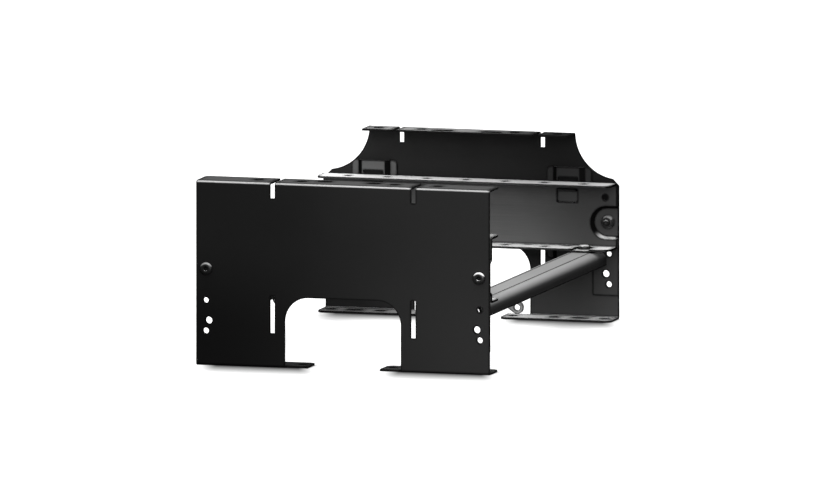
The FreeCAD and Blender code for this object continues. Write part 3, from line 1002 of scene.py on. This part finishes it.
@dataclass(frozen=True)
class HexBolt(Threaded):
    """A hexagon bolt, head above height 0 and shank below it.

    Args:
        flats: the head's size across its flats.
        head_height: the head's height, washer face included.
        washer: the washer face's height.
        face: the share of the flats that the upper face takes.
        washer_face: the share of the flats that the washer face takes.
        edge: the width of broken edges.
    """

    flats: float = 10 * MM
    head_height: float = 4 * MM
    washer: float = 0.4 * MM
    face: float = 0.8
    washer_face: float = 0.94
    edge: float = 0.15 * MM

    def model(self) -> bpy.types.Object:
        """Model the bolt once, at the origin."""
        head = chamfered_hexagon(self.flats, self.washer, self.head_height, self.face)
        rim = self.washer_face * self.flats / 2
        ring = Bench.turn([(0, 0), (rim - self.edge, 0), (rim, self.edge), (rim, self.washer + self.edge),
                           (0, self.washer + self.edge)])
        Bench.soften(Bench.carve(head, ring, "UNION"), self.edge)
        shank = Bench.thread(self.diameter / 2, self.pitch, -self.length, self.edge)
        return Bench.join([head, shank])

    def place(self, node: str, end: End) -> Matrix:
        """Where a copy stands for a node, read from the node's box."""
        return below_top(node, self.head_height)


@dataclass(frozen=True)
class Sheets:
    """A family of sheet pieces that keep their solids and only take a finish.

    Args:
        title: what the family is called in the log.
        nodes: the pieces' names.
        slot: the record's slot that they belong to; not used.
        finish: the finish that they wear.
    """

    title: str
    nodes: Sequence[str]
    slot: Slot
    finish: Finish

    def dress(self) -> None:
        """Put the finish on each piece."""
        for name in self.nodes:
            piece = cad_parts[name]
            self.finish.dress(piece)
            log.info("%s: %s wears %s", self.title, name, self.finish.name)


@dataclass(frozen=True)
class SpotWelds:
    """The shallow marks of the spot welds that hold the hat brackets to the walls.

    Args:
        radius: a mark's radius.
        height: how far its ring stands out.
        sunk: how far it reaches into the sheet.
        ring: the ring's section from rim to middle, in shares of radius and height.
        facets: the faces round a mark.
        ear: the width of a bracket's ear.
        sheet: the ear's thickness.
        margin: how far the marks lie from the ear's ends.
    """

    radius: float = 2.2 * MM
    height: float = 0.25 * MM
    sunk: float = 0.1 * MM
    ring: Outline = ((1.0, 0.0), (0.85, 0.8), (0.7, 1.0), (0.55, 0.7), (0.0, 0.15))
    facets: int = 24
    ear: float = 6.8 * MM
    sheet: float = 1.5 * MM
    margin: float = 20 * MM

    def model(self) -> bpy.types.Object:
        """Model one mark: a dimple inside a low raised ring."""
        ring = [(across * self.radius, up * self.height) for across, up in self.ring]
        outline = [(0, -self.sunk), (self.radius, -self.sunk), *ring]
        return Bench.join([Bench.turn(outline, self.facets)])

    def build(self) -> list[bpy.types.Object]:
        """Put four marks on each hat bracket's ears.

        Returns:
            One piece of four marks for each bracket.
        """
        model = self.model()
        made = []
        for end, side in CORNERS:
            node = f"{end.value}_{side.value}_hat_bracket"
            low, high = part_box(node)
            face = outer_face(node, end) + end.inward * self.sheet
            spots = [(x, z) for x in (low.x + self.ear / 2, high.x - self.ear / 2)
                     for z in (low.z + self.margin, high.z - self.margin)]
            marks = [Bench.copy(model, turned_in(end, (x, face, z))) for x, z in spots]
            piece = Bench.join(marks)
            piece.name = f"{node}_spot_welds"
            # Each mark wears the same copy of the paint as its bracket.
            BRACKET_FINISHES[side].dress(piece)
            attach(piece, BODY)
            made.append(piece)
        bpy.data.objects.remove(model)
        return made


@dataclass(frozen=True)
class Softbox:
    """A broad even light that faces the object.

    Args:
        name: the light's name.
        place: where its middle hangs.
        size: its width and length.
        power: its power in watts.
        mirrored: whether shiny faces mirror it.
    """

    name: str
    place: tuple[float, float, float]
    size: tuple[float, float]
    power: float
    mirrored: bool = True

    def hang(self) -> None:
        """Hang the light, unseen by the camera."""
        light = bpy.data.lights.new(self.name, "AREA")
        light.shape = "RECTANGLE"
        light.size, light.size_y = self.size
        light.energy = self.power
        lamp = bpy.data.objects.new(self.name, light)
        lamp.location = self.place
        lamp.rotation_mode = "QUATERNION"
        lamp.rotation_quaternion = (-lamp.location).to_track_quat("-Z", "Y")
        lamp.visible_camera = False
        lamp.visible_glossy = self.mirrored
        bpy.context.scene.collection.objects.link(lamp)


@dataclass(frozen=True)
class Studio:
    """A pale floor, a dim sky that is dark below the horizon, and softboxes round the object.

    Args:
        floor_size: the floor's width.
        floor_drop: how far the floor lies below the feet.
        floor_colour: the floor's colour.
        floor_glow: how strongly the floor glows, which keeps cast shadows faint.
        paper_cloud: the size of the floor's faint clouds.
        paper_dip: the brightness of these clouds, as a share of the floor's.
        foot_middle: how far from the object's middle each foot's shade lies along X and Y.
        foot_half: half the size of the full shade along X and Y.
        shade_colour: the colour in full shade.
        shade_front: how far in front of the front feet the shade ends.
        shade_rear: the same for the rear feet.
        shade_back: how far behind the feet the shade ends.
        shade_side: how far beside the full shade it ends.
        shade_shift: how far to the right the shade lies.
        shade_lean: how far the shade leans to the right, as a share of the way in front.
        shade_spread: how much softer its sides get, as a share of that way.
        sky: the brightness of the sky.
        below: the brightness below the horizon.
        horizon: half the height over which one goes over into the other.
        softboxes: the lights.
    """

    floor_size: float = 9.0
    floor_drop: float = 0.2 * MM
    floor_colour: Colour = grey(0.9)
    floor_glow: float = 0.52
    paper_cloud: float = 25 * MM
    paper_dip: float = 0.97
    foot_middle: tuple[float, float] = (93.4 * MM, 213 * MM)
    foot_half: tuple[float, float] = (42 * MM, 15 * MM)
    shade_colour: Colour = grey(0.07)
    shade_front: float = 78 * MM
    shade_rear: float = 62 * MM
    shade_back: float = 4 * MM
    shade_side: float = 18 * MM
    shade_shift: float = 5 * MM
    shade_lean: float = 0.29
    shade_spread: float = 0.3
    sky: float = 0.3
    below: float = 0.02
    horizon: float = 0.03
    softboxes: tuple[Softbox, ...] = (
        Softbox("softbox_above", (0.0, -0.3, 1.6), (2.0, 2.0), 36.0),
        Softbox("softbox_front", (1.0, -2.2, 0.9), (2.2, 1.6), 40.0),
        Softbox("softbox_rear", (0.0, 2.4, 0.9), (2.6, 1.6), 25.0, mirrored=False),
        Softbox("low_fill", (1.4, -1.5, 0.2), (0.8, 0.3), 8.0),
    )

    def build(self) -> None:
        """Lay the floor, light the sky and hang the softboxes."""
        self.lay_floor()
        self.light_sky()
        for softbox in self.softboxes:
            softbox.hang()
        bpy.context.scene.view_settings.view_transform = "Standard"

    def lay_floor(self) -> None:
        """Lay a matt pale floor, shaded round the feet, that throws no light back up."""
        bpy.ops.object.select_all(action="DESELECT")
        bpy.ops.mesh.primitive_plane_add(size=self.floor_size, location=(0, 0, -self.floor_drop))
        floor = bpy.context.object
        floor.name = "studio_floor"
        floor.visible_diffuse = False
        floor.visible_glossy = False
        paint = bpy.data.materials.new("floor_pale_paper")
        paint.use_nodes = True
        tree = Tree(paint.node_tree)
        where = tree.add("ShaderNodeTexCoord", {}, {}, "Object")
        clouds = tree.noise(where, 1 / self.paper_cloud)
        paper = tree.blend(clouds, tuple(self.paper_dip * c for c in self.floor_colour), self.floor_colour)
        front = self.lit_share(where, -self.foot_middle[1], self.shade_front)
        rear = self.lit_share(where, self.foot_middle[1], self.shade_rear)
        lit = front.lower(rear).lower(1.0)
        shader = tree.add("ShaderNodeBsdfPrincipled", {}, {
            "Base Color": tree.blend(lit, self.shade_colour, paper), "Roughness": 1.0,
            "Emission Color": tree.blend(lit, self.shade_colour, grey(1.0)),
            "Emission Strength": self.floor_glow, "Specular IOR Level": 0.0})
        tree.add("ShaderNodeOutputMaterial", {}, {"Surface": shader})
        floor.data.materials.append(paint)

    def lit_share(self, where: Value, middle: float, reach: float) -> Value:
        """How far a floor point lies out of the shade of the feet below one wall.

        Args:
            where: the floor point.
            middle: the feet's place along Y.
            reach: how far in front of them the shade ends.

        Returns:
            0 under the feet and 1 where the shade ends, which is further off in front of them
            and leans to the right there.
        """
        behind = where.along("Y") - middle
        in_front = (-1.0 * behind - self.foot_half[1]).higher(0.0)
        sideways = (where.along("X") - self.shade_shift - self.shade_lean * in_front).size()
        beside = (sideways - self.foot_middle[0]).size() - self.foot_half[0]
        back_gap = (behind - self.foot_half[1]) / self.shade_back
        gap_y = (in_front / reach).higher(back_gap)
        gap_x = (beside / (self.shade_side + self.shade_spread * in_front)).higher(0.0)
        return (gap_x * gap_x + gap_y * gap_y).root()

    def light_sky(self) -> None:
        """Light the sky from the horizon up."""
        world = bpy.data.worlds.new("studio_sky")
        world.use_nodes = True
        bpy.context.scene.world = world
        tree = Tree(world.node_tree)
        direction = tree.add("ShaderNodeTexCoord", {}, {}, "Generated")
        above = direction.along("Z").step(-self.horizon, self.horizon)
        level = tree.blend(above, grey(self.below), grey(self.sky))
        glow = tree.add("ShaderNodeBackground", {}, {"Color": level})
        tree.add("ShaderNodeOutputWorld", {}, {"Surface": glow})


@dataclass(frozen=True)
class PhotoCamera:
    """The photograph's view: as good as parallel, from the front right and a little above.

    Args:
        azimuth: degrees to the right of straight ahead.
        elevation: degrees above the horizon.
        pixels_per_metre: the picture's scale.
        middle_pixel: where the middle of the object's box falls in the picture.
        distance: how far the camera stands off.
    """

    azimuth: float = 16.12
    elevation: float = 7.23
    pixels_per_metre: float = 1018.1
    middle_pixel: tuple[float, float] = (407.8, 249.5)
    distance: float = 3.0

    def build(self) -> bpy.types.Object:
        """Set up the camera.

        Returns:
            The camera, which is the scene's own.
        """
        turn, tilt = math.radians(self.azimuth), math.radians(self.elevation)
        back = Vector((math.sin(turn) * math.cos(tilt), -math.cos(turn) * math.cos(tilt), math.sin(tilt)))
        aim = (-back).to_track_quat("-Z", "Y")
        right, up = aim @ Vector((1, 0, 0)), aim @ Vector((0, 1, 0))
        offset_x = (IMAGE_WIDTH / 2 - self.middle_pixel[0]) / self.pixels_per_metre
        offset_y = (self.middle_pixel[1] - IMAGE_HEIGHT / 2) / self.pixels_per_metre
        middle = (CAD_BOX[0] + CAD_BOX[1]) / 2
        lens = bpy.data.cameras.new("photo_camera")
        lens.type = "ORTHO"
        lens.ortho_scale = IMAGE_WIDTH / self.pixels_per_metre
        camera = bpy.data.objects.new("photo_camera", lens)
        camera.rotation_mode = "QUATERNION"
        camera.rotation_quaternion = aim
        camera.location = middle + right * offset_x + up * offset_y + back * self.distance
        bpy.context.scene.collection.objects.link(camera)
        bpy.context.scene.camera = camera
        return camera


@dataclass(frozen=True)
class CableTrough:
    """The whole object: its sheet pieces and the small pieces that dress them.

    Args:
        sheets: the families of sheet pieces.
        fasteners: the kinds of fastener.
    """

    sheets: Sequence[Sheets]
    fasteners: Sequence[Fastener]

    def build(self) -> None:
        """Dress the sheet pieces, then add the fasteners and the weld marks."""
        for family in self.sheets:
            family.dress()
        for fastener in self.fasteners:
            for piece in fastener.build():
                log.info("fastener: %s wears %s", piece.name, fastener.finish.name)
        for piece in SpotWelds().build():
            log.info("weld marks: %s", piece.name)


def corner_nodes(suffix: str, sides: Sequence[Side] = tuple(Side)) -> list[str]:
    """The names of the nodes that share a suffix, at the corners of the given sides."""
    return [f"{end.value}_{side.value}_{suffix}" for end, side in CORNERS if side in sides]


def main() -> None:
    """Build the dressed object, the studio and the camera."""
    logging.basicConfig(level=logging.INFO, format="%(message)s")
    trough = CableTrough(
        sheets=[
            Sheets("front wall", ["front_wall"], Slot.WALL, FRONT_WALL_BLACK),
            Sheets("rear wall", ["rear_wall"], Slot.WALL, REAR_WALL_BLACK),
            Sheets("doubler", corner_nodes("doubler"), Slot.WALL, REAR_WALL_BLACK),
            Sheets("channel", ["front_channel", "rear_channel"], Slot.CHANNEL, CHANNEL_GRAPHITE),
            # Left and right hat brackets wear the lit and the shaded copy of one paint.
            *(Sheets(f"{side.value} hat bracket", corner_nodes("hat_bracket", [side]), Slot.BRACKET, finish)
              for side, finish in BRACKET_FINISHES.items()),
            Sheets("rail", ["left_rail", "right_rail"], Slot.RAIL, RAIL_SILVER),
            Sheets("rail eye", ["left_rail_eye", "right_rail_eye"], Slot.RAIL, EYE_STEEL),
        ],
        fasteners=[
            # One screw finish, in a shaded copy on the left and a lit copy with a painted highlight on the
            # right.
            ButtonScrew("channel_screw", Slot.SCREW, SCREW_SHADED_LEFT, (Side.LEFT,)),
            ButtonScrew("channel_screw", Slot.SCREW, SCREW_LIT_RIGHT, (Side.RIGHT,)),
            FlangeNut("channel_nut", Slot.SCREW, NUT_BLACK),
            HexBolt("rail_bolt", Slot.BOLT, BOLT_ZINC),
            RailNut("rail_nut", Slot.BOLT, BOLT_ZINC),
        ])
    trough.build()
    Studio().build()
    PhotoCamera().build()


if __name__ == "__main__":
    main()
